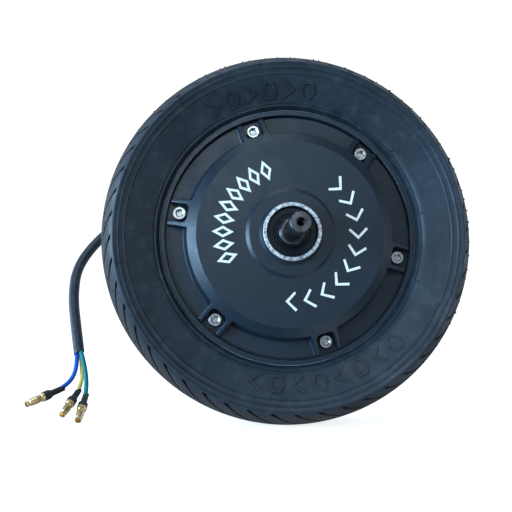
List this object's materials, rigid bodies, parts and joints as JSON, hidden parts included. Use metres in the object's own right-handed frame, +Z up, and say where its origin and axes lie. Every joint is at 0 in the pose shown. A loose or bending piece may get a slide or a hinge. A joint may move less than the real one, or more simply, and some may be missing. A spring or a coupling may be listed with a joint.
{
  "type": "hub motor wheel",
  "caption": "Scooter wheel with an outer-rotor motor in its hub: solid tyre on a screwed shell turning on a fixed axle with a three-wire cable.",
  "frame": {"origin": "centre of the wheel, on the axle, in the middle plane of the tyre", "axes": "+Y along the axle towards its cable end, +Z up, the front cover faces -Y"},
  "size_m": [0.2434, 0.1831, 0.2],
  "materials": {
    "tyre_rubber": "satin moulded rubber",
    "rim_paint": "satin black paint",
    "cover_paint": "satin black paint on cast aluminium, bare machined nose ring",
    "screw_steel": "zinc plated",
    "seal_rubber": "matt rubber",
    "back_iron": "turned steel",
    "magnet": "nickel plated",
    "bearing_steel": "ground steel",
    "ball_steel": "polished steel",
    "cage_steel": "pressed steel",
    "axle_steel": "dark turned steel",
    "carrier_aluminium": "as cast",
    "spring_steel": "black spring steel",
    "lamination_steel": "stacked sheet edges",
    "insulator_plastic": "white nylon",
    "coil_copper": "enamelled copper",
    "lead_insulation": "silicone",
    "grommet_rubber": "matt rubber",
    "sheath_plastic": "satin black sheath",
    "blue_insulation": "satin silicone",
    "yellow_insulation": "satin silicone",
    "green_insulation": "satin silicone",
    "shrink_sleeve": "shrunk black sleeve",
    "gold_plate": "polished gold plate"
  },
  "bodies": {
    "stator": {"axle": "axle_steel", "stator_carrier": "carrier_aluminium", "carrier_key": "axle_steel", "front_retaining_ring": "spring_steel", "rear_retaining_ring": "spring_steel", "stator_core": "lamination_steel", "front_slot_insulator": "insulator_plastic", "rear_slot_insulator": "insulator_plastic", "coils": "coil_copper", "inner_phase_leads": "lead_insulation", "front_bearing_inner_ring": "bearing_steel", "rear_bearing_inner_ring": "bearing_steel", "cable_grommet": "grommet_rubber", "cable_sheath": "sheath_plastic", "blue_phase_wire": "blue_insulation", "blue_phase_sleeve": "shrink_sleeve", "blue_phase_connector": "gold_plate", "yellow_phase_wire": "yellow_insulation", "yellow_phase_sleeve": "shrink_sleeve", "yellow_phase_connector": "gold_plate", "green_phase_wire": "green_insulation", "green_phase_sleeve": "shrink_sleeve", "green_phase_connector": "gold_plate"},
    "wheel": {"tyre": "tyre_rubber", "hub_shell": "rim_paint", "front_cover": "cover_paint", "rear_cover": "cover_paint", "front_cover_screws": "screw_steel", "rear_cover_screws": "screw_steel", "front_axle_seal": "seal_rubber", "rear_axle_seal": "seal_rubber", "back_iron_ring": "back_iron", "magnets": "magnet", "front_bearing_outer_ring": "bearing_steel", "rear_bearing_outer_ring": "bearing_steel"},
    "front_ball_set": {"front_bearing_balls": "ball_steel", "front_bearing_cage": "cage_steel"},
    "rear_ball_set": {"rear_bearing_balls": "ball_steel", "rear_bearing_cage": "cage_steel"}
  },
  "joints": [
    {"name": "wheel_spin", "type": "hinge", "parent": "stator", "child": "wheel", "pos_m": [0, 0, 0], "axis": [0, 1, 0], "continuous": true},
    {"name": "front_balls_spin", "type": "hinge", "parent": "stator", "child": "front_ball_set", "pos_m": [0, -0.02, 0], "axis": [0, 1, 0], "continuous": true},
    {"name": "rear_balls_spin", "type": "hinge", "parent": "stator", "child": "rear_ball_set", "pos_m": [0, 0.02, 0], "axis": [0, 1, 0], "continuous": true}
  ],
  "couplings": [
    {"joint": "front_balls_spin", "follows": "wheel_spin", "ratio": 0.6193},
    {"joint": "rear_balls_spin", "follows": "wheel_spin", "ratio": 0.6193}
  ]
}
